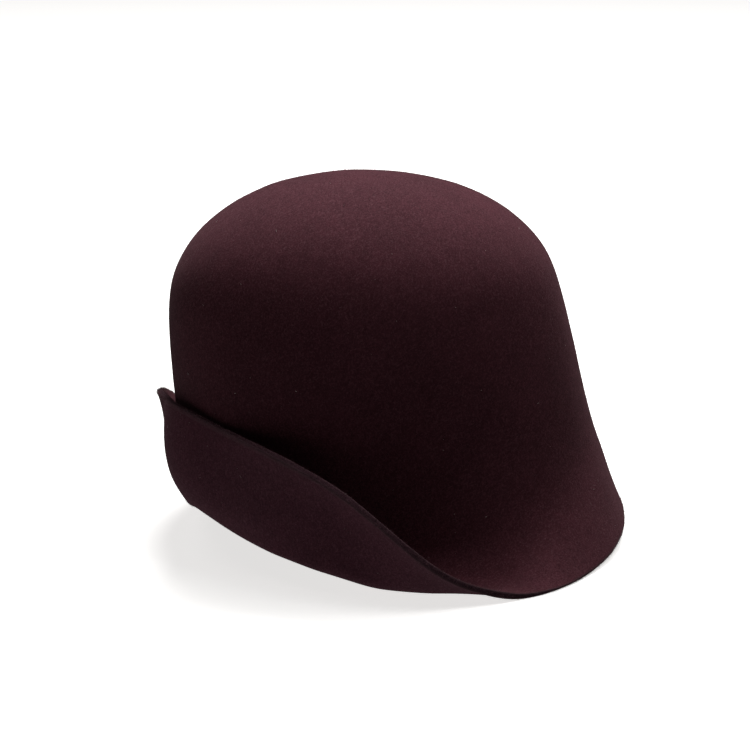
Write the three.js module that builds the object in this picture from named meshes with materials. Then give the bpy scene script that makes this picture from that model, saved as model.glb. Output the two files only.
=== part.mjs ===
// A cloche hat blocked from one piece of wool felt: a round crown whose wall runs on
// into a brim with a plain cut edge. The brim is turned up as a cuff round the front
// and flares down like a bell round the back, so the hat stands on its two sides.
//
// Millimetres, +Z up. The front of the hat faces -Y. The origin is on the surface
// that the hat stands on, under the middle of its bounding box.

import * as THREE from "three";

// ---- driving dimensions -------------------------------------------------------

const FELT = 3;
const REST_FLAT = 0.6; // how far the felt is pressed flat where it stands

const CROWN_HALF_LENGTH = 99; // to the front and back, at the shoulder
const CROWN_HALF_WIDTH = 82; // to each side, at the shoulder
const CROWN_HEIGHT = 187;
const CROWN_TOP_FORWARD = 6.5; // the crown's top sits this far in front of its middle
const DOME_TOP_FULLNESS = 0.57; // flatness of the top, as a share of the crown's radius
const DOME_SIDE_FULLNESS = 0.55; // height of the steep side, as a share of the dome's
const SHOULDER_HEIGHT = { front: 122, back: 138 }; // where the dome becomes the wall
const SHOULDER_LEAN = { front: -1, back: 19 }; // degrees outwards, going down

// One row for each section of the wall's foot and the brim, from the middle of the
// front (0 degrees) round to the middle of the back (180); both sides are alike.
//   lift    height of the section's lowest point above the surface
//   spread  how far the wall's foot stands outside the shoulder
//   lean    direction of the felt at the wall's foot: 0 is straight down, 90 level
//   turn    its direction past the bend: 180 is folded straight up
//   bend    length of felt in the bend
//   flap    length of felt from the bend to the cut edge
//   belly   how far the flap's foot leans out from that direction, easing off upwards
//   curl    further change of direction towards the cut edge
const SECTIONS = [
  { at: 0, lift: 26.5, spread: -13, lean: -17, turn: 179, bend: 10, flap: 52, belly: 42, curl: 18 },
  { at: 25, lift: 18.5, spread: -14, lean: -24, turn: 178, bend: 9.5, flap: 54, belly: 31, curl: 4 },
  { at: 45, lift: 13.5, spread: -6.5, lean: -8, turn: 176.5, bend: 12, flap: 53.5, belly: 16, curl: -21.5 },
  { at: 60, lift: 8.5, spread: -1, lean: 0, turn: 169, bend: 18.5, flap: 47.5, belly: 0, curl: -36 },
  { at: 72, lift: 1, spread: -2, lean: 2, turn: 150, bend: 21, flap: 40, belly: 0, curl: -27 },
  { at: 84, lift: 0, spread: 0, lean: 10, turn: 125, bend: 34, flap: 18.5, belly: 0, curl: -20 },
  { at: 96, lift: 0, spread: 5, lean: 12, turn: 100, bend: 41, flap: 9.5, belly: 0, curl: -14 },
  { at: 115, lift: 0, spread: 13, lean: 14.5, turn: 48, bend: 34, flap: 18, belly: 0, curl: -9 },
  { at: 145, lift: 7, spread: 17, lean: 14, turn: 24, bend: 27, flap: 30, belly: 0, curl: -1 },
  { at: 180, lift: 14, spread: 19, lean: 16, turn: 21, bend: 23, flap: 34, belly: 0, curl: 0 },
];

// Facets round the hat, and along each stretch of a section from the top down
const AROUND = 90;
const DOME_FACETS = 8;
const WALL_FACETS = 5;
const BEND_FACETS = 8;
const FLAP_FACETS = 5;
const STEPS_PER_FACET = 8; // fine steps that follow the brim's curve

// ---- sections -----------------------------------------------------------------

const radians = THREE.MathUtils.degToRad;

// A column's value at any angle: a smooth curve through the rows, even about the
// front and the back so that it has no kink there.
function columnAt(column, angle) {
  const last = SECTIONS.length - 1;
  const knot = (row) => {
    if (row < 0) return { at: -SECTIONS[-row].at, value: SECTIONS[-row][column] };
    if (row <= last) return { at: SECTIONS[row].at, value: SECTIONS[row][column] };
    const mirrored = SECTIONS[2 * last - row];
    return { at: 360 - mirrored.at, value: mirrored[column] };
  };
  const fromFront = angle <= 180 ? angle : 360 - angle;
  let row = 0;
  while (row < last - 1 && SECTIONS[row + 1].at <= fromFront) row += 1;
  const [before, start, end, after] = [row - 1, row, row + 1, row + 2].map(knot);
  const span = end.at - start.at;
  const t = (fromFront - start.at) / span;
  const startSlope = ((end.value - before.value) / (end.at - before.at)) * span;
  const endSlope = ((after.value - start.value) / (after.at - start.at)) * span;
  return hermite(start.value, startSlope, end.value, endSlope, t);
}

function hermite(start, startSlope, end, endSlope, t) {
  const t2 = t * t;
  const t3 = t2 * t;
  const fromStart = (2 * t3 - 3 * t2 + 1) * start + (t3 - 2 * t2 + t) * startSlope;
  return fromStart + (3 * t2 - 2 * t3) * end + (t3 - t2) * endSlope;
}

function bezier(p0, p1, p2, p3, t) {
  const s = 1 - t;
  return s * s * s * p0 + 3 * s * s * t * p1 + 3 * s * t * t * p2 + t * t * t * p3;
}

// The brim below the wall's foot, as a walk along the felt's upper face: its
// direction eases from lean to turn in the bend, short of it by the belly, which
// goes along the flap while the curl comes in.
function walkBrim({ lean, turn, bend, flap, belly, curl }) {
  const bendSteps = BEND_FACETS * STEPS_PER_FACET;
  const flapSteps = FLAP_FACETS * STEPS_PER_FACET;
  const directionAt = (along) => {
    if (along <= bendSteps) {
      const t = along / bendSteps;
      return radians(lean + (turn - belly - lean) * t * t * (3 - 2 * t));
    }
    const t = (along - bendSteps) / flapSteps;
    return radians(turn - belly * (1 - t) * (1 - t) + curl * t * t);
  };
  const stations = [];
  let out = 0;
  let z = 0;
  let lowest = 0;
  for (let step = 1; step <= bendSteps + flapSteps; step += 1) {
    const direction = directionAt(step - 0.5);
    const stride = step <= bendSteps ? bend / bendSteps : flap / flapSteps;
    out += stride * Math.sin(direction);
    z -= stride * Math.cos(direction);
    lowest = Math.min(lowest, z - FELT * Math.max(0, Math.sin(directionAt(step))));
    if (step % STEPS_PER_FACET === 0) stations.push({ out, z });
  }
  return { stations, lowest };
}

// One section from the crown's top down to the cut edge. Each point has the share of
// the crown's radius that it stands at, how far outside that it is, and its height.
function sectionAt(angle) {
  const names = ["lift", "spread", "lean", "turn", "bend", "flap", "belly", "curl"];
  const row = Object.fromEntries(names.map((name) => [name, columnAt(name, angle)]));
  const backness = (1 - Math.cos(radians(angle))) / 2;
  const blend = ({ front, back }) => front + (back - front) * backness;
  const shoulder = blend(SHOULDER_HEIGHT);
  const shoulderLean = radians(blend(SHOULDER_LEAN));

  const points = [];
  const sideHeight = DOME_SIDE_FULLNESS * (CROWN_HEIGHT - shoulder);
  const meanRadius = (CROWN_HALF_LENGTH + CROWN_HALF_WIDTH) / 2;
  const sideShare = 1 - (Math.tan(shoulderLean) * sideHeight) / meanRadius;
  for (let facet = 1; facet <= DOME_FACETS; facet += 1) {
    const t = facet / DOME_FACETS;
    points.push({
      share: bezier(0, DOME_TOP_FULLNESS, sideShare, 1, t),
      out: 0,
      z: bezier(CROWN_HEIGHT, CROWN_HEIGHT, shoulder + sideHeight, shoulder, t),
    });
  }

  const brim = walkBrim(row);
  const foot = row.lift - REST_FLAT - brim.lowest;
  const wallLength = Math.hypot(row.spread, shoulder - foot);
  const lean = radians(row.lean);
  for (let facet = 1; facet <= WALL_FACETS; facet += 1) {
    const t = facet / WALL_FACETS;
    const outSlopes = [wallLength * Math.sin(shoulderLean), wallLength * Math.sin(lean)];
    const zSlopes = [-wallLength * Math.cos(shoulderLean), -wallLength * Math.cos(lean)];
    points.push({
      share: 1,
      out: hermite(0, outSlopes[0], row.spread, outSlopes[1], t),
      z: hermite(shoulder, zSlopes[0], foot, zSlopes[1], t),
    });
  }

  for (const station of brim.stations) {
    points.push({ share: 1, out: row.spread + station.out, z: foot + station.z });
  }
  return points;
}

// ---- felt ---------------------------------------------------------------------

function crownTop() {
  return new THREE.Vector3(0, -CROWN_TOP_FORWARD, CROWN_HEIGHT);
}

// The upper face as rings of points, from the one next to the crown's top down to the
// cut edge; each ring starts at the front and runs round by the hat's +X side.
function upperRings() {
  const sections = Array.from({ length: AROUND }, (_, place) => {
    const angle = (360 * place) / AROUND;
    const [sine, cosine] = [Math.sin(radians(angle)), Math.cos(radians(angle))];
    return sectionAt(angle).map(({ share, out, z }) => new THREE.Vector3(
      (CROWN_HALF_WIDTH * share + out) * sine,
      -(CROWN_HALF_LENGTH * share + out) * cosine - CROWN_TOP_FORWARD * (1 - share * share),
      z,
    ));
  });
  return sections[0].map((_, ring) => sections.map((section) => section[ring]));
}

// The lower face stands one felt thickness behind the upper one, square to it.
function lowerRings(upper) {
  const top = upper[0].map(crownTop);
  return upper.map((ring, index) => ring.map((point, place) => {
    const above = (upper[index - 1] ?? top)[place];
    const below = (upper[index + 1] ?? ring)[place];
    const next = ring[(place + 1) % AROUND];
    const previous = ring[(place + AROUND - 1) % AROUND];
    const down = below.clone().sub(above);
    const around = next.clone().sub(previous);
    const outward = down.cross(around).normalize();
    return point.clone().addScaledVector(outward, -FELT);
  }));
}

function pressFlat(ring) {
  for (const point of ring) point.z = Math.max(point.z, 0);
}

// One closed body: upper face, cut edge and lower face, each quad split so that the
// hat's two sides mirror each other.
function feltGeometry() {
  const upper = upperRings();
  const lower = lowerRings(upper);
  const rings = [...upper, ...lower.reverse()];
  rings.forEach(pressFlat);
  const lowerTop = crownTop().setZ(CROWN_HEIGHT - FELT);
  const vertices = [crownTop(), ...rings.flat(), lowerTop];
  const vertexAt = (ring, place) => 1 + ring * AROUND + (place % AROUND);
  const last = vertices.length - 1;

  const triangles = [];
  for (let place = 0; place < AROUND; place += 1) {
    triangles.push(0, vertexAt(0, place), vertexAt(0, place + 1));
    for (let ring = 0; ring < rings.length - 1; ring += 1) {
      const [a, b] = [vertexAt(ring, place), vertexAt(ring, place + 1)];
      const [c, d] = [vertexAt(ring + 1, place + 1), vertexAt(ring + 1, place)];
      if (place < AROUND / 2) triangles.push(a, d, c, a, c, b);
      else triangles.push(a, d, b, b, d, c);
    }
    const end = rings.length - 1;
    triangles.push(last, vertexAt(end, place + 1), vertexAt(end, place));
  }

  const geometry = new THREE.BufferGeometry().setFromPoints(vertices);
  geometry.setIndex(triangles);
  geometry.computeBoundingBox();
  const centre = geometry.boundingBox.getCenter(new THREE.Vector3());
  geometry.translate(0, -centre.y, 0);
  geometry.computeVertexNormals();
  return geometry;
}

// ---- hat ----------------------------------------------------------------------

const burgundyFelt = new THREE.MeshStandardMaterial({
  color: 0x3b1b24,
  roughness: 0.95,
  metalness: 0,
});

const feltShell = new THREE.Mesh(feltGeometry(), burgundyFelt);
feltShell.name = "felt_shell";

const hat = new THREE.Group();
hat.add(feltShell);

export default hat;
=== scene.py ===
"""A cloche hat of burgundy wool felt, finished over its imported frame.

The file is laid out as an add-on: each operator makes one piece or the stage, and the
panel lists them in order. Run as a script, main() makes the whole scene.
"""

import math

import bpy
from bpy.props import FloatProperty, FloatVectorProperty, IntProperty, PointerProperty
from mathutils import Matrix, Vector


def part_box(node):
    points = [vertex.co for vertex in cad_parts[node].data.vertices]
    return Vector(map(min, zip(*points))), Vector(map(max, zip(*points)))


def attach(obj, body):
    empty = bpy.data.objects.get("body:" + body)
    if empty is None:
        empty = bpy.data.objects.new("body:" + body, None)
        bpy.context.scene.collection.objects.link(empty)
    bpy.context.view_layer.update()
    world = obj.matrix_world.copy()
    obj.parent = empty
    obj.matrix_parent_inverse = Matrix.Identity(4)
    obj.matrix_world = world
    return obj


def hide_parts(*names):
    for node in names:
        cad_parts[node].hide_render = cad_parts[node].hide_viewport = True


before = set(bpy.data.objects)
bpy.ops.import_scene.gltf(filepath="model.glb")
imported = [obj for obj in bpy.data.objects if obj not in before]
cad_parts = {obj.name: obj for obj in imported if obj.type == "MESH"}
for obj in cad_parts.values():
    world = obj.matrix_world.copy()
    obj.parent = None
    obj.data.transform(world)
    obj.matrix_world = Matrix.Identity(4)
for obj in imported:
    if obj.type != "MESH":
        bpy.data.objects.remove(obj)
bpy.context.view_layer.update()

bl_info = {
    "name": "Felt Cloche Hat",
    "version": (1, 0, 0),
    "blender": (4, 5, 0),
    "location": "View3D > Sidebar > Felt Hat",
    "description": "Makes a blocked wool felt cloche hat with its nap, and a studio stage",
    "category": "Object",
}

FELT_NODE = "felt_shell"
BODY = "root"

FLOOR_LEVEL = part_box(FELT_NODE)[0].z
FELT_THICKNESS = 0.003
MERGE_DISTANCE = 0.00001
PAST_EDGE = "past_edge"  # metres along a section, past the cut edge's outer corner
SHADE = "fibre_shade"  # a random share, one for each fibre

# Where fibres grow, as past_edge's two limits and how softly they fade there.
ALL_FELT = (-1.0, 1.0, 0.001)
EDGE_SPILL = 0.0002
CUT_EDGE = (-EDGE_SPILL, FELT_THICKNESS + EDGE_SPILL, EDGE_SPILL)
MASK_SLACK = 0.00015  # half the width over which a mask of the cut face fades

NAP_LEAN, EDGE_LEAN, LINT_LEAN = 1.6, 0.9, 3.0  # 0 stands straight out of the felt
EDGE_FIBRE_LENGTH = 0.8  # of a nap fibre's
LINT_WIDTH = 3.5  # of a nap fibre's

CROWN_MIDDLE = Vector((0.0, -0.0162, 0.09))
AIM_RIGHT, AIM_DOWN = 0.00594, 0.00585  # from the crown's middle, in the camera's view
LIGHT_AIM = Vector((0.0, 0.0, 0.1))
SOFTBOX_SIZE, NEAR_SOFTBOX_SIZE = 0.9, 0.35
FLOOR_SIZE = 16.0


# ---- what a user would change --------------------------------------------------

class FeltShape(bpy.types.PropertyGroup):
    """The felt's form beyond its frame."""

    corner_radius: FloatProperty(
        name="Cut Corner", description="Rounding of the cut edge's two corners",
        default=0.0003, min=0.0001, max=0.001, subtype="DISTANCE", unit="LENGTH", precision=5,
    )
    edge_swell: FloatProperty(
        name="Edge Swell", description="How far the felt swells along its cut edge",
        default=0.0004, min=0.0, max=0.001, subtype="DISTANCE", unit="LENGTH", precision=5,
    )
    unevenness: FloatProperty(
        name="Unevenness", description="Height of the soft hollows left by hand blocking",
        default=0.0011, min=0.0, max=0.003, subtype="DISTANCE", unit="LENGTH", precision=5,
    )
    unevenness_size: FloatProperty(
        name="Unevenness Size", description="Width of those hollows",
        default=0.042, min=0.01, max=0.1, subtype="DISTANCE", unit="LENGTH",
    )
    smoothness: IntProperty(
        name="Smoothness", description="Subdivision levels of the felt", default=2, min=1, max=3,
    )


class FeltColours(bpy.types.PropertyGroup):
    """The felt's colours."""

    outside: FloatVectorProperty(
        name="Outside", description="Felt on the hat's outside",
        default=(0.067, 0.0175, 0.0250), size=3, min=0.0, max=1.0, subtype="COLOR",
    )
    # Lighter than the outside felt: painted light on the cuff, which shows this side.
    inside: FloatVectorProperty(
        name="Inside", description="Felt on the head's side, which the cuff shows",
        default=(0.084, 0.0255, 0.0385), size=3, min=0.0, max=1.0, subtype="COLOR",
    )
    # Darker than the felt's faces: painted shade on the cut face along the edge.
    cut: FloatVectorProperty(
        name="Cut Face", description="Felt's core, bare along the cut edge",
        default=(0.052, 0.0215, 0.0295), size=3, min=0.0, max=1.0, subtype="COLOR",
    )
    # Also the colour of the painted highlight along the cut edge's corners.
    fibre: FloatVectorProperty(
        name="Loose Fibre", description="Pale loose fibres of the nap",
        default=(0.160, 0.098, 0.108), size=3, min=0.0, max=1.0, subtype="COLOR",
    )
    lint: FloatVectorProperty(
        name="Lint", description="Specks of lint that cling to the felt",
        default=(0.62, 0.50, 0.47), size=3, min=0.0, max=1.0, subtype="COLOR",
    )
    sheen: FloatProperty(
        name="Sheen", description="Strength of the nap's soft sheen",
        default=0.05, min=0.0, max=1.0, subtype="FACTOR",
    )


class NapShape(bpy.types.PropertyGroup):
    """Loose fibres on the felt and along its cut edge."""

    fibre_length: FloatProperty(
        name="Fibre Length", description="Mean length of a loose fibre",
        default=0.0009, min=0.0002, max=0.003, subtype="DISTANCE", unit="LENGTH", precision=5,
    )
    fibre_width: FloatProperty(
        name="Fibre Width", description="Thickness of a loose fibre",
        default=0.00004, min=0.00001, max=0.0002, subtype="DISTANCE", unit="LENGTH", precision=5,
    )
    surface_density: FloatProperty(
        name="Surface Density", description="Loose fibres in a square metre of felt",
        default=110000.0, min=0.0, max=400000.0,
    )
    edge_density: FloatProperty(
        name="Edge Density", description="Loose fibres in a square metre of cut edge",
        default=5000000.0, min=0.0, max=30000000.0,
    )
    lint_density: FloatProperty(
        name="Lint Density", description="Specks of lint in a square metre of felt",
        default=1500.0, min=0.0, max=10000.0,
    )
    seed: IntProperty(name="Seed", description="Seed of every random draw", default=7, min=0)


class StageSetup(bpy.types.PropertyGroup):
    """Camera, lights and floor."""

    azimuth: FloatProperty(
        name="Azimuth", description="Camera's angle round the hat; 0 faces its front",
        default=math.radians(63.3), subtype="ANGLE", unit="ROTATION",
    )
    elevation: FloatProperty(
        name="Elevation", description="Camera's angle above the level",
        default=math.radians(14.07), subtype="ANGLE", unit="ROTATION",
    )
    distance: FloatProperty(
        name="Distance", description="From the camera to the hat's middle",
        default=1.4, min=0.3, subtype="DISTANCE", unit="LENGTH",
    )
    lens: FloatProperty(
        name="Lens", description="Focal length", default=134.4, min=10.0, unit="CAMERA",
    )
    floor_colour: FloatVectorProperty(
        name="Floor", description="Pale floor", default=(0.82, 0.81, 0.80), size=3,
        min=0.0, max=1.0, subtype="COLOR",
    )
    floor_glow: FloatProperty(
        name="Floor Glow", description="Light of the floor's own, like a lit white sweep",
        default=0.9,
    )
    main_light: FloatProperty(
        name="Main Light", description="Power of the high softbox behind the hat, in watts",
        default=44.0,
    )
    right_light: FloatProperty(
        name="Right Light", description="Power of the softbox on the right", default=5.5,
    )
    near_light: FloatProperty(
        name="Near Light", description="Power of the small softbox just over the crown",
        default=1.15,
    )
    left_light: FloatProperty(
        name="Left Light", description="Power of the softbox on the left", default=2.5,
    )
    floor_bounce: FloatProperty(
        name="Floor Bounce", description="Strength of the soft light up from the pale floor",
        default=0.23,
    )


class HatSettings(bpy.types.PropertyGroup):
    """All settings of the hat and its stage."""

    shape: PointerProperty(type=FeltShape)
    colours: PointerProperty(type=FeltColours)
    nap: PointerProperty(type=NapShape)
    stage: PointerProperty(type=StageSetup)


# ---- node helpers --------------------------------------------------------------

def feed(tree, socket, value):
    """Links an output socket to an input socket, or sets the input to a plain value."""
    if isinstance(value, bpy.types.NodeSocket):
        tree.links.new(value, socket)
    else:
        socket.default_value = value


def add_node(tree, kind, place, inputs=None, **settings):
    """Adds a node with its settings, socket values and links from other sockets."""
    node = tree.nodes.new(kind)
    node.location = place
    for name, value in settings.items():
        setattr(node, name, value)
    for name, value in (inputs or {}).items():
        feed(tree, node.inputs[name], value)
    return node


def new_group(name, kind, inputs, outputs):
    """Starts a node group with named sockets, and gives its tree and two end nodes."""
    tree = bpy.data.node_groups.new(name, kind)
    for label, socket_type, value in inputs:
        socket = tree.interface.new_socket(label, in_out="INPUT", socket_type=socket_type)
        if value is not None:
            socket.default_value = value
    for label, socket_type in outputs:
        tree.interface.new_socket(label, in_out="OUTPUT", socket_type=socket_type)
    start = add_node(tree, "NodeGroupInput", (-1100, 0))
    end = add_node(tree, "NodeGroupOutput", (900, 0))
    return tree, start, end


def colour_of(rgb):
    """A colour property as a socket's four values."""
    return (rgb[0], rgb[1], rgb[2], 1.0)


# ---- felt materials ------------------------------------------------------------

def noise_texture(tree, place, vector, scale, detail, roughness, distortion):
    """A noise texture's value, its scale in features for each metre."""
    node = add_node(
        tree, "ShaderNodeTexNoise", place,
        {"Vector": vector, "Scale": scale, "Detail": detail, "Roughness": roughness,
         "Distortion": distortion},
    )
    return node.outputs["Fac"]


def mapped(tree, place, value, low, high, to_low, to_high, smooth=True):
    """A value's range moved to another one, eased and held at its ends."""
    node = add_node(
        tree, "ShaderNodeMapRange", place,
        {"Value": value, "From Min": low, "From Max": high, "To Min": to_low, "To Max": to_high},
        interpolation_type="SMOOTHSTEP" if smooth else "LINEAR", clamp=True,
    )
    return node.outputs["Result"]


def calculated(tree, place, operation, first, second):
    """Two values joined by one step of arithmetic."""
    node = add_node(tree, "ShaderNodeMath", place, operation=operation)
    for socket, value in zip(node.inputs, (first, second)):
        feed(tree, socket, value)
    return node.outputs["Value"]


def stored_value(tree, place, name):
    """A value that the mesh stores under a name."""
    node = add_node(
        tree, "ShaderNodeAttribute", place, attribute_name=name, attribute_type="GEOMETRY",
    )
    return node.outputs["Fac"]


def build_matted_fibres():
    """Matted wool: streaks that cross in three directions, and the grain they leave."""
    tree, start, end = new_group(
        "matted_fibres", "ShaderNodeTree",
        [("Vector", "NodeSocketVector", None), ("Scale", "NodeSocketFloat", 900.0),
         ("Streak Length", "NodeSocketFloat", 4.0)],
        [("Grain", "NodeSocketFloat"), ("Height", "NodeSocketFloat")],
    )
    turns = ((0.0, 0.6, 0.35), (1.2, 0.2, 1.4), (0.5, 1.7, 2.5))
    streaks = None
    for index, turn in enumerate(turns):
        column = 260 - 260 * index
        turned = add_node(
            tree, "ShaderNodeMapping", (-850, column),
            {"Vector": start.outputs["Vector"], "Rotation": turn}, vector_type="POINT",
        )
        spread = add_node(
            tree, "ShaderNodeCombineXYZ", (-850, column - 120),
            {"X": start.outputs["Streak Length"], "Y": 1.0, "Z": 1.0},
        )
        drawn = add_node(
            tree, "ShaderNodeVectorMath", (-650, column),
            {0: turned.outputs["Vector"], 1: spread.outputs["Vector"]}, operation="DIVIDE",
        )
        fibre = noise_texture(
            tree, (-450, column), drawn.outputs["Vector"], start.outputs["Scale"], 2.0, 0.6, 0.4,
        )
        if streaks is None:
            streaks = fibre
        else:
            streaks = calculated(tree, (-200, column), "MAXIMUM", streaks, fibre)
    grain = mapped(tree, (100, 0), streaks, 0.42, 0.78, 0.0, 1.0)
    fine = noise_texture(
        tree, (-450, -560), start.outputs["Vector"], start.outputs["Scale"], 4.0, 0.75, 0.2,
    )
    height = calculated(tree, (350, -200), "MULTIPLY_ADD", grain, 0.6)
    tree.links.new(fine, height.node.inputs[2])
    tree.links.new(grain, end.inputs["Grain"])
    tree.links.new(height, end.inputs["Height"])
    return tree


def build_mottling():
    """Cloudy patches of lighter and darker wool, from broad ones to small ones."""
    tree, start, end = new_group(
        "wool_mottling", "ShaderNodeTree",
        [("Vector", "NodeSocketVector", None), ("Amount", "NodeSocketFloat", 0.15)],
        [("Tone", "NodeSocketFloat")],
    )
    vector = start.outputs["Vector"]
    broad = noise_texture(tree, (-700, 200), vector, 26.0, 2.0, 0.5, 0.6)
    small = noise_texture(tree, (-700, -50), vector, 240.0, 3.0, 0.6, 0.3)
    flecks = noise_texture(tree, (-700, -300), vector, 620.0, 2.0, 0.6, 0.0)
    both = calculated(tree, (-400, 80), "ADD", broad, small)
    total = calculated(tree, (-200, 0), "ADD", both, flecks)
    centred = calculated(tree, (0, 0), "SUBTRACT", total, 1.5)
    scaled = calculated(tree, (200, 0), "MULTIPLY", centred, start.outputs["Amount"])
    tone = calculated(tree, (400, 0), "ADD", scaled, 1.0)
    tree.links.new(tone, end.inputs["Tone"])
    return tree


def build_cut_edge():
    """Masks along the cut edge: the cut face, for painted shade, its two corners, for a painted
    highlight, and the inside, for painted light on the cuff.
    """
    tree, start, end = new_group(
        "cut_edge_masks", "ShaderNodeTree",
        [("Corner Width", "NodeSocketFloat", 0.0005)],
        [("Cut Face", "NodeSocketFloat"), ("Corners", "NodeSocketFloat"),
         ("Inside", "NodeSocketFloat")],
    )
    past = stored_value(tree, (-900, 300), PAST_EDGE)
    begun = mapped(tree, (-500, 300), past, -MASK_SLACK, MASK_SLACK, 0.0, 1.0)
    ended = mapped(
        tree, (-500, 50), past, FELT_THICKNESS - MASK_SLACK, FELT_THICKNESS + MASK_SLACK,
        0.0, 1.0,
    )
    face = calculated(tree, (-250, 200), "SUBTRACT", begun, ended)
    # Nearness to the cut edge's two corners: the mask of their painted highlight.
    corners = None
    for index, corner in enumerate((0.0, FELT_THICKNESS)):
        row = -250 - 300 * index
        offset = calculated(tree, (-700, row), "SUBTRACT", past, corner)
        away = calculated(tree, (-500, row), "ABSOLUTE", offset, 0.0)
        share = calculated(tree, (-300, row), "DIVIDE", away, start.outputs["Corner Width"])
        near = mapped(tree, (-100, row), share, 0.0, 1.0, 1.0, 0.0)
        if corners is None:
            corners = near
        else:
            corners = calculated(tree, (150, row), "MAXIMUM", corners, near)
    tree.links.new(face, end.inputs["Cut Face"])
    tree.links.new(corners, end.inputs["Corners"])
    tree.links.new(ended, end.inputs["Inside"])
    return tree


def felt_groups():
    """The felt's shared node groups, each built once."""
    builders = {
        "matted_fibres": build_matted_fibres,
        "wool_mottling": build_mottling,
        "cut_edge_masks": build_cut_edge,
    }
    return {name: bpy.data.node_groups.get(name) or build() for name, build in builders.items()}


def place_group(tree, group, place, inputs):
    """Places a node group in a tree."""
    return add_node(tree, "ShaderNodeGroup", place, inputs, node_tree=group)


def mixed_colour(tree, place, share, first, second, blend="MIX"):
    """Two colours mixed by a share."""
    node = add_node(
        tree, "ShaderNodeMix", place, data_type="RGBA", blend_type=blend, clamp_factor=True,
    )
    factor, one, two = node.inputs[0], node.inputs[6], node.inputs[7]
    for socket, value in ((factor, share), (one, first), (two, second)):
        feed(tree, socket, value)
    return node.outputs[2]


def scaled_colour(tree, place, colour, tone):
    """A colour made lighter or darker by a tone near 1."""
    node = add_node(
        tree, "ShaderNodeVectorMath", place, {0: colour, "Scale": tone}, operation="SCALE",
    )
    return node.outputs["Vector"]


def new_surface(name, sheen, roughness):
    """A material with a Principled shader, and its tree and shader node."""
    material = bpy.data.materials.new(name)
    material.use_nodes = True
    tree = material.node_tree
    shader = tree.nodes["Principled BSDF"]
    shader.inputs["Roughness"].default_value = roughness
    shader.inputs["Specular IOR Level"].default_value = 0.12
    shader.inputs["Sheen Weight"].default_value = sheen
    shader.inputs["Sheen Roughness"].default_value = 0.42
    shader.inputs["Sheen Tint"].default_value = (1.0, 0.55, 0.62, 1.0)
    return material, tree, shader


def felt_material(colours):
    """Matt wool felt: fibre grain and mottling, a lighter inside that paints light on the cuff,
    a darker cut face that paints shade on the edge, and a painted highlight along the cut edge's
    two corners.
    """
    material, tree, shader = new_surface("burgundy_wool_felt", colours.sheen, 0.92)
    groups = felt_groups()
    place = add_node(tree, "ShaderNodeTexCoord", (-1500, 0)).outputs["Object"]
    fibres = place_group(
        tree, groups["matted_fibres"], (-1200, 200),
        {"Vector": place, "Scale": 1350.0, "Streak Length": 2.6},
    )
    mottling = place_group(
        tree, groups["wool_mottling"], (-1200, -50), {"Vector": place, "Amount": 0.42},
    )
    masks = place_group(tree, groups["cut_edge_masks"], (-1200, -250), {"Corner Width": 0.0006})

    # The inside takes its lighter colour: painted light on the cuff.
    faces = mixed_colour(
        tree, (-900, 300), masks.outputs["Inside"],
        colour_of(colours.outside), colour_of(colours.inside),
    )
    # The cut face takes its darker colour: painted shade along the cut edge.
    cut = mixed_colour(
        tree, (-700, 300), masks.outputs["Cut Face"], faces, colour_of(colours.cut),
    )
    grain_tone = mapped(tree, (-900, 0), fibres.outputs["Grain"], 0.0, 1.0, 0.74, 1.30, False)
    tone = calculated(tree, (-700, 0), "MULTIPLY", grain_tone, mottling.outputs["Tone"])
    toned = scaled_colour(tree, (-500, 200), cut, tone)
    # Pale flecks from the grain, and a painted highlight along the cut edge's two corners in the
    # pale fibre colour.
    flecks = mapped(tree, (-900, -450), fibres.outputs["Grain"], 0.35, 1.0, 0.0, 0.16)
    fuzz = calculated(tree, (-900, -250), "MULTIPLY", masks.outputs["Corners"], 0.3)
    pale = calculated(tree, (-700, -350), "MAXIMUM", flecks, fuzz)
    final = mixed_colour(tree, (-300, 200), pale, toned, colour_of(colours.fibre))
    tree.links.new(final, shader.inputs["Base Color"])

    matt = mapped(tree, (-500, -50), fibres.outputs["Grain"], 0.0, 1.0, 0.98, 0.84, False)
    tree.links.new(matt, shader.inputs["Roughness"])
    bump = add_node(
        tree, "ShaderNodeBump", (-300, -250),
        {"Height": fibres.outputs["Height"], "Strength": 0.55, "Distance": 0.00022},
    )
    tree.links.new(bump.outputs["Normal"], shader.inputs["Normal"])
    return material


def fibre_material(colours):
    """Loose wool fibres, from the felt's own colour to a pale one."""
    material, tree, shader = new_surface("loose_wool_fibre", colours.sheen, 0.8)
    shade = stored_value(tree, (-900, 100), SHADE)
    groups = felt_groups()
    place = add_node(tree, "ShaderNodeTexCoord", (-1200, -100)).outputs["Object"]
    mottling = place_group(
        tree, groups["wool_mottling"], (-900, -150), {"Vector": place, "Amount": 0.5},
    )
    paleness = mapped(tree, (-650, 100), shade, 0.15, 1.0, 0.0, 1.0)
    colour = mixed_colour(
        tree, (-450, 100), paleness, colour_of(colours.outside), colour_of(colours.fibre),
    )
    toned = scaled_colour(tree, (-250, 100), colour, mottling.outputs["Tone"])
    tree.links.new(toned, shader.inputs["Base Color"])
    return material


def lint_material(colours):
    """Specks of pale lint."""
    material, tree, shader = new_surface("pale_lint", 0.1, 0.85)
    shade = stored_value(tree, (-700, 100), SHADE)
    colour = mixed_colour(
        tree, (-400, 100), shade, colour_of(colours.fibre), colour_of(colours.lint),
    )
    tree.links.new(colour, shader.inputs["Base Color"])
    return material


# ---- pieces --------------------------------------------------------------------

def select_only(piece):
    """Makes a piece the only selected object, and the active one."""
    bpy.ops.object.select_all(action="DESELECT")
    piece.select_set(True)
    bpy.context.view_layer.objects.active = piece


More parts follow.
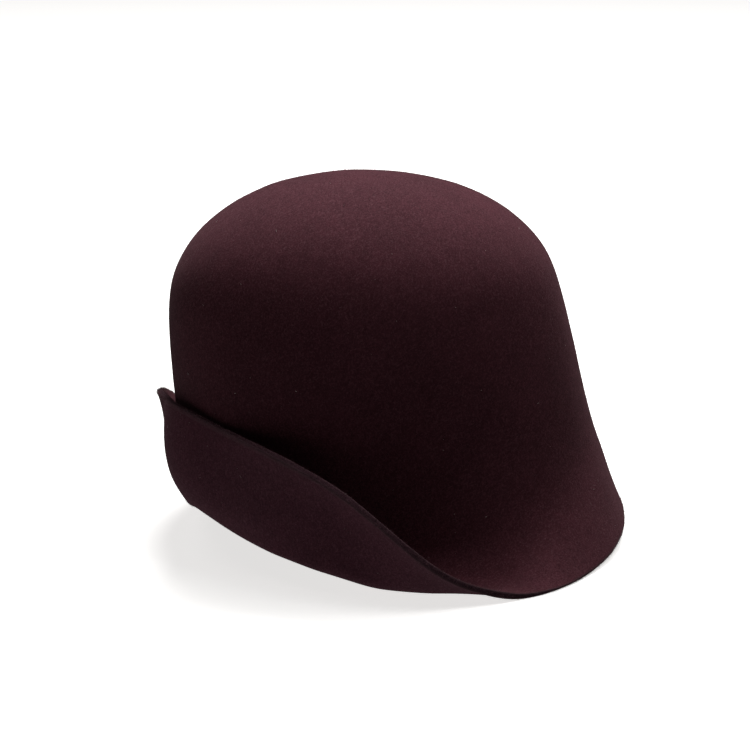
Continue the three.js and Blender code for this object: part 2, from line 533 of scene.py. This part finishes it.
def copy_of(source, name):
    """A new object with a copy of a mesh, at the origin."""
    piece = bpy.data.objects.new(name, source.data.copy())
    piece.data.name = name
    piece.data.materials.clear()
    bpy.context.scene.collection.objects.link(piece)
    select_only(piece)
    return piece


def apply_modifier(piece, modifier):
    """Applies a modifier to a piece's mesh."""
    select_only(piece)
    bpy.ops.object.modifier_apply(modifier=modifier.name)


def register_piece(piece, material):
    """Gives a finished piece its material, says what it rides on, and hides the frame's felt
    part that it takes the place of.
    """
    piece.data.materials.clear()
    piece.data.materials.append(material)
    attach(piece, BODY)
    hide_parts(FELT_NODE)


def merge_triangles(piece):
    """Merges the frame's loose triangles into one surface."""
    select_only(piece)
    bpy.ops.object.mode_set(mode="EDIT")
    bpy.ops.mesh.select_all(action="SELECT")
    bpy.ops.mesh.remove_doubles(threshold=MERGE_DISTANCE)
    bpy.ops.object.mode_set(mode="OBJECT")


def ordered_rings(mesh):
    """The rings of vertices round the hat, from the crown's top over the cut edge and
    up the inside. Each ring starts at the middle of the front and runs by the +X side."""
    points = [vertex.co for vertex in mesh.vertices]
    neighbours = [set() for _ in points]
    for edge in mesh.edges:
        one, two = edge.vertices
        neighbours[one].add(two)
        neighbours[two].add(one)

    def in_order(ring):
        if len(ring) == 1:
            return list(ring)
        start = min(ring, key=lambda index: (round(abs(points[index].x), 5), points[index].y))
        order = [start, max(neighbours[start] & ring, key=lambda index: points[index].x)]
        while len(order) < len(ring):
            (following,) = (neighbours[order[-1]] & ring) - {order[-2]}
            order.append(following)
        return order

    top = max(range(len(points)), key=lambda index: points[index].z)
    seen = {top}
    rings = [[top]]
    while len(seen) < len(points):
        ahead = {other for index in rings[-1] for other in neighbours[index]} - seen
        seen |= ahead
        rings.append(in_order(ahead))
    return rings


def select_edges(piece, chosen):
    """Selects the edges that a test of their two vertices picks, and nothing else."""
    select_only(piece)
    bpy.ops.object.mode_set(mode="EDIT")
    bpy.ops.mesh.select_mode(type="EDGE")
    bpy.ops.mesh.select_all(action="DESELECT")
    bpy.ops.object.mode_set(mode="OBJECT")
    for edge in piece.data.edges:
        edge.select = chosen(*edge.vertices)
    bpy.ops.object.mode_set(mode="EDIT")


def join_into_quads(piece, rings):
    """Dissolves each quad's diagonal, which joins two places in neighbouring rings."""
    spot = {}
    for number, ring in enumerate(rings[1:-1]):
        spot.update({index: (number, place) for place, index in enumerate(ring)})

    def is_diagonal(one, two):
        if one not in spot or two not in spot:
            return False
        return spot[one][0] != spot[two][0] and spot[one][1] != spot[two][1]

    select_edges(piece, is_diagonal)
    bpy.ops.mesh.dissolve_edges(use_verts=False)
    bpy.ops.object.mode_set(mode="OBJECT")


def measure_past_edge(mesh, rings, outer):
    """Stores each vertex's distance along its section, past the cut edge's outer
    corner: below 0 on the outside, above the thickness on the inside."""
    past = [0.0] * len(mesh.vertices)

    def walk(order, place, sign, distance):
        before = order[0][place % len(order[0])]
        past[before] = distance
        for ring in order[1:]:
            here = ring[place % len(ring)]
            distance += sign * (mesh.vertices[here].co - mesh.vertices[before].co).length
            past[here] = distance
            before = here

    for place in range(len(rings[outer])):
        walk(rings[outer::-1], place, -1.0, 0.0)
        walk(rings[outer + 1:], place, 1.0, FELT_THICKNESS)
    attribute = mesh.attributes.new(PAST_EDGE, "FLOAT", "POINT")
    attribute.data.foreach_set("value", past)


def add_edge_group(piece, rings, outer):
    """A vertex group that holds the felt's cut edge, for its swelling."""
    group = piece.vertex_groups.new(name="cut_edge")
    for ring, weight in ((outer, 1.0), (outer + 1, 1.0), (outer - 1, 0.25), (outer + 2, 0.25)):
        group.add(rings[ring], weight, "REPLACE")


def round_corners(piece, rings, outer, radius):
    """Bevels the cut edge's two corners, each a closed loop of edges."""
    loops = [set(rings[outer]), set(rings[outer + 1])]
    select_edges(piece, lambda one, two: any({one, two} <= loop for loop in loops))
    bpy.ops.mesh.bevel(offset=radius, segments=1, affect="EDGES", clamp_overlap=False)
    bpy.ops.object.mode_set(mode="OBJECT")


def press_on_floor(piece):
    """Keeps the felt above the surface that it stands on."""
    for vertex in piece.data.vertices:
        vertex.co.z = max(vertex.co.z, FLOOR_LEVEL)


class HAT_OT_felt(bpy.types.Operator):
    """Make the felt of the crown, bell and cuff"""

    bl_idname = "hat.felt"
    bl_label = "Felt"

    def execute(self, context):
        shape = context.scene.hat.shape
        piece = copy_of(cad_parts[FELT_NODE], "felt_hat")
        merge_triangles(piece)
        rings = ordered_rings(piece.data)
        outer = len(rings) // 2 - 1
        join_into_quads(piece, rings)
        measure_past_edge(piece.data, rings, outer)
        add_edge_group(piece, rings, outer)
        round_corners(piece, rings, outer, shape.corner_radius)

        smooth = piece.modifiers.new("smooth", "SUBSURF")
        smooth.levels = shape.smoothness
        smooth.render_levels = shape.smoothness
        apply_modifier(piece, smooth)

        clouds = bpy.data.textures.new("blocking_hollows", "CLOUDS")
        clouds.noise_scale = shape.unevenness_size
        clouds.noise_depth = 2
        hollows = piece.modifiers.new("hollows", "DISPLACE")
        hollows.texture = clouds
        hollows.texture_coords = "LOCAL"
        hollows.mid_level = 0.5
        hollows.strength = shape.unevenness
        apply_modifier(piece, hollows)

        swell = piece.modifiers.new("swell", "DISPLACE")
        swell.vertex_group = "cut_edge"
        swell.mid_level = 0.0
        swell.strength = shape.edge_swell
        apply_modifier(piece, swell)

        piece.vertex_groups.clear()
        press_on_floor(piece)
        bpy.ops.object.shade_smooth()
        register_piece(piece, felt_material(context.scene.hat.colours))
        return {"FINISHED"}


def build_fibre_tree(name, low, high, falloff):
    """Geometry nodes that grow fibres where past_edge lies between two values: each a
    closed three-sided taper that leans out of the felt, with a shade of its own."""
    tree, start, end = new_group(
        name, "GeometryNodeTree",
        [("Geometry", "NodeSocketGeometry", None), ("Density", "NodeSocketFloat", 1.0),
         ("Length", "NodeSocketFloat", 0.001), ("Width", "NodeSocketFloat", 0.00004),
         ("Lean", "NodeSocketFloat", 1.0), ("Seed", "NodeSocketInt", 0)],
        [("Geometry", "NodeSocketGeometry")],
    )
    given = start.outputs
    past = add_node(
        tree, "GeometryNodeInputNamedAttribute", (-1100, -300), {"Name": PAST_EDGE},
        data_type="FLOAT",
    ).outputs["Attribute"]
    begun = mapped(tree, (-850, -300), past, low - falloff, low + falloff, 0.0, 1.0)
    ended = mapped(tree, (-850, -550), past, high - falloff, high + falloff, 1.0, 0.0)
    inside = calculated(tree, (-650, -400), "MULTIPLY", begun, ended)
    density = calculated(tree, (-450, -300), "MULTIPLY", inside, given["Density"])
    points = add_node(
        tree, "GeometryNodeDistributePointsOnFaces", (-250, 100),
        {"Mesh": given["Geometry"], "Density": density, "Seed": given["Seed"]},
    )
    fibre = add_node(
        tree, "GeometryNodeMeshCone", (-250, -350),
        {"Vertices": 3, "Side Segments": 1, "Radius Top": 0.0, "Radius Bottom": given["Width"],
         "Depth": given["Length"]},
        fill_type="TRIANGLE_FAN",
    )
    spread = add_node(
        tree, "FunctionNodeRandomValue", (-250, -700),
        {"Min": (-1.0, -1.0, -1.0), "Max": (1.0, 1.0, 1.0), "Seed": given["Seed"]},
        data_type="FLOAT_VECTOR",
    )
    leaned = add_node(
        tree, "ShaderNodeVectorMath", (-50, -600),
        {0: spread.outputs["Value"], "Scale": given["Lean"]}, operation="SCALE",
    )
    direction = add_node(
        tree, "ShaderNodeVectorMath", (120, -450),
        {0: points.outputs["Normal"], 1: leaned.outputs["Vector"]}, operation="ADD",
    )
    turned = add_node(
        tree, "FunctionNodeAlignRotationToVector", (280, -350),
        {"Vector": direction.outputs["Vector"]}, axis="Z",
    )
    stretch = add_node(
        tree, "FunctionNodeRandomValue", (120, -750),
        {"Min": (0.7, 0.7, 0.35), "Max": (1.5, 1.5, 1.8), "Seed": given["Seed"]},
        data_type="FLOAT_VECTOR",
    )
    grown = add_node(
        tree, "GeometryNodeInstanceOnPoints", (450, 50),
        {"Points": points.outputs["Points"], "Instance": fibre.outputs["Mesh"],
         "Rotation": turned.outputs["Rotation"], "Scale": stretch.outputs["Value"]},
    )
    shade = add_node(
        tree, "FunctionNodeRandomValue", (450, -450), {"Seed": given["Seed"]}, data_type="FLOAT",
    )
    stored = add_node(
        tree, "GeometryNodeStoreNamedAttribute", (620, 0),
        {"Geometry": grown.outputs["Instances"], "Name": SHADE,
         "Value": shade.outputs[1]},
        data_type="FLOAT", domain="INSTANCE",
    )
    real = add_node(
        tree, "GeometryNodeRealizeInstances", (760, 0), {"Geometry": stored.outputs["Geometry"]},
    )
    tree.links.new(real.outputs["Geometry"], end.inputs["Geometry"])
    return tree


def grow_fibres(name, tree, density, length, width, lean, seed):
    """A piece of fibres grown on the finished felt."""
    piece = copy_of(bpy.data.objects["felt_hat"], name)
    modifier = piece.modifiers.new("fibres", "NODES")
    modifier.node_group = tree
    values = {"Density": density, "Length": length, "Width": width, "Lean": lean, "Seed": seed}
    for item in tree.interface.items_tree:
        if item.in_out == "INPUT" and item.name in values:
            modifier[item.identifier] = values[item.name]
    apply_modifier(piece, modifier)
    press_on_floor(piece)
    return piece


class HAT_OT_nap(bpy.types.Operator):
    """Make the loose fibres on the felt's faces"""

    bl_idname = "hat.nap"
    bl_label = "Nap"

    def execute(self, context):
        nap = context.scene.hat.nap
        tree = build_fibre_tree("nap_fibres", *ALL_FELT)
        piece = grow_fibres(
            "felt_nap", tree, nap.surface_density, nap.fibre_length, nap.fibre_width, NAP_LEAN,
            nap.seed,
        )
        register_piece(piece, fibre_material(context.scene.hat.colours))
        return {"FINISHED"}


class HAT_OT_edge_fuzz(bpy.types.Operator):
    """Make the fuzz along the cut edge"""

    bl_idname = "hat.edge_fuzz"
    bl_label = "Edge Fuzz"

    def execute(self, context):
        nap = context.scene.hat.nap
        tree = build_fibre_tree("edge_fibres", *CUT_EDGE)
        piece = grow_fibres(
            "edge_fuzz", tree, nap.edge_density, nap.fibre_length * EDGE_FIBRE_LENGTH,
            nap.fibre_width, EDGE_LEAN, nap.seed + 1,
        )
        register_piece(piece, fibre_material(context.scene.hat.colours))
        return {"FINISHED"}


class HAT_OT_lint(bpy.types.Operator):
    """Make the specks of lint that cling to the felt"""

    bl_idname = "hat.lint"
    bl_label = "Lint"

    def execute(self, context):
        nap = context.scene.hat.nap
        tree = build_fibre_tree("lint_specks", *ALL_FELT)
        piece = grow_fibres(
            "lint", tree, nap.lint_density, nap.fibre_length, nap.fibre_width * LINT_WIDTH,
            LINT_LEAN, nap.seed + 2,
        )
        register_piece(piece, lint_material(context.scene.hat.colours))
        return {"FINISHED"}


# ---- stage ---------------------------------------------------------------------

def camera_axes(stage):
    """The camera's unit vectors: from the hat to the camera, to its right, and up."""
    sine, cosine = math.sin(stage.azimuth), math.cos(stage.azimuth)
    rise, level = math.sin(stage.elevation), math.cos(stage.elevation)
    back = Vector((sine * level, -cosine * level, rise))
    right = Vector((cosine, sine, 0.0))
    return back, right, back.cross(right)


def add_camera(stage):
    """The camera, aimed so that the hat stands a little left of the middle."""
    back, right, up = camera_axes(stage)
    aim = CROWN_MIDDLE + right * AIM_RIGHT - up * AIM_DOWN
    data = bpy.data.cameras.new("camera")
    data.lens = stage.lens
    data.clip_start = 0.05
    data.clip_end = 50.0
    camera = bpy.data.objects.new("camera", data)
    camera.matrix_world = Matrix((right, up, back)).transposed().to_4x4()
    camera.location = aim + back * stage.distance
    bpy.context.scene.collection.objects.link(camera)
    bpy.context.scene.camera = camera


def add_softbox(name, place, size, power):
    """A square area light that faces the hat's middle."""
    data = bpy.data.lights.new(name, "AREA")
    data.shape = "SQUARE"
    data.size = size
    data.energy = power
    light = bpy.data.objects.new(name, data)
    light.location = place
    light.rotation_mode = "QUATERNION"
    light.rotation_quaternion = (LIGHT_AIM - place).to_track_quat("-Z", "Y")
    bpy.context.scene.collection.objects.link(light)


def add_floor(stage):
    """A wide pale floor that the hat stands on."""
    bpy.ops.object.select_all(action="DESELECT")
    bpy.ops.mesh.primitive_plane_add(size=FLOOR_SIZE, location=(0.0, 0.0, FLOOR_LEVEL))
    floor = bpy.context.object
    floor.name = "floor"
    material, _, shader = new_surface("pale_floor", 0.0, 0.9)
    shader.inputs["Base Color"].default_value = colour_of(stage.floor_colour)
    shader.inputs["Emission Color"].default_value = colour_of(stage.floor_colour)
    shader.inputs["Emission Strength"].default_value = stage.floor_glow
    floor.data.materials.append(material)
    floor.visible_diffuse = False
    floor.visible_glossy = False
    floor.visible_shadow = False


def add_room(stage, left):
    """Soft light that the pale floor throws up, more of it from the left, and a white
    backdrop."""
    world = bpy.data.worlds.new("room")
    world.use_nodes = True
    bpy.context.scene.world = world
    tree = world.node_tree
    shader = tree.nodes["Background"]
    shader.inputs["Color"].default_value = (1.0, 1.0, 1.0, 1.0)
    direction = add_node(tree, "ShaderNodeTexCoord", (-900, 0)).outputs["Generated"]
    height = add_node(
        tree, "ShaderNodeSeparateXYZ", (-700, 0), {"Vector": direction},
    ).outputs["Z"]
    rising = mapped(tree, (-500, 0), height, -0.01, 0.01, stage.floor_bounce, 0.0, False)
    leftness = add_node(
        tree, "ShaderNodeVectorMath", (-700, -200), {0: direction, 1: left},
        operation="DOT_PRODUCT",
    ).outputs["Value"]
    share = mapped(tree, (-500, -250), leftness, -1.0, 1.0, 0.1, 1.9, False)
    bounce = calculated(tree, (-350, -50), "MULTIPLY", rising, share)
    seen = add_node(tree, "ShaderNodeLightPath", (-500, 300)).outputs["Is Camera Ray"]
    strength = calculated(tree, (-200, 100), "MAXIMUM", bounce, seen)
    tree.links.new(strength, shader.inputs["Strength"])


class HAT_OT_stage(bpy.types.Operator):
    """Make the camera, softboxes, floor and room light"""

    bl_idname = "hat.stage"
    bl_label = "Stage"

    def execute(self, context):
        stage = context.scene.hat.stage
        add_camera(stage)
        back, right, _ = camera_axes(stage)
        level = Vector((back.x, back.y, 0.0)).normalized()
        high = Vector((0.0, 0.0, 1.0))
        softboxes = (
            ("main_softbox", high * 1.86 - level * 0.93 + right * 0.15, stage.main_light),
            ("right_softbox", high * 1.83 + right * 0.95 - level * 0.3, stage.right_light),
            ("left_softbox", high * 1.83 - right, stage.left_light),
        )
        for name, place, power in softboxes:
            add_softbox(name, place, SOFTBOX_SIZE, power)
        near = high * 0.64 + right * 0.16 + level * 0.13
        add_softbox("near_softbox", near, NEAR_SOFTBOX_SIZE, stage.near_light)
        add_floor(stage)
        add_room(stage, -right)
        context.scene.view_settings.view_transform = "Standard"
        return {"FINISHED"}


# ---- add-on --------------------------------------------------------------------

class HAT_PT_panel(bpy.types.Panel):
    """Lists the hat's pieces and their settings"""

    bl_idname = "HAT_PT_panel"
    bl_label = "Felt Cloche Hat"
    bl_space_type = "VIEW_3D"
    bl_region_type = "UI"
    bl_category = "Felt Hat"

    def draw(self, context):
        settings = context.scene.hat
        for operator in OPERATORS:
            self.layout.operator(operator.bl_idname)
        for group in (settings.shape, settings.colours, settings.nap, settings.stage):
            box = self.layout.box()
            for name in group.__annotations__:
                box.prop(group, name)


PROPERTY_GROUPS = (FeltShape, FeltColours, NapShape, StageSetup, HatSettings)
OPERATORS = (HAT_OT_felt, HAT_OT_nap, HAT_OT_edge_fuzz, HAT_OT_lint, HAT_OT_stage)


def register():
    for cls in (*PROPERTY_GROUPS, *OPERATORS, HAT_PT_panel):
        bpy.utils.register_class(cls)
    bpy.types.Scene.hat = PointerProperty(type=HatSettings)


def unregister():
    del bpy.types.Scene.hat
    for cls in reversed((*PROPERTY_GROUPS, *OPERATORS, HAT_PT_panel)):
        bpy.utils.unregister_class(cls)


def main():
    """Makes every piece and the stage."""
    register()
    bpy.ops.hat.felt()
    bpy.ops.hat.nap()
    bpy.ops.hat.edge_fuzz()
    bpy.ops.hat.lint()
    bpy.ops.hat.stage()


if __name__ == "__main__":
    main()
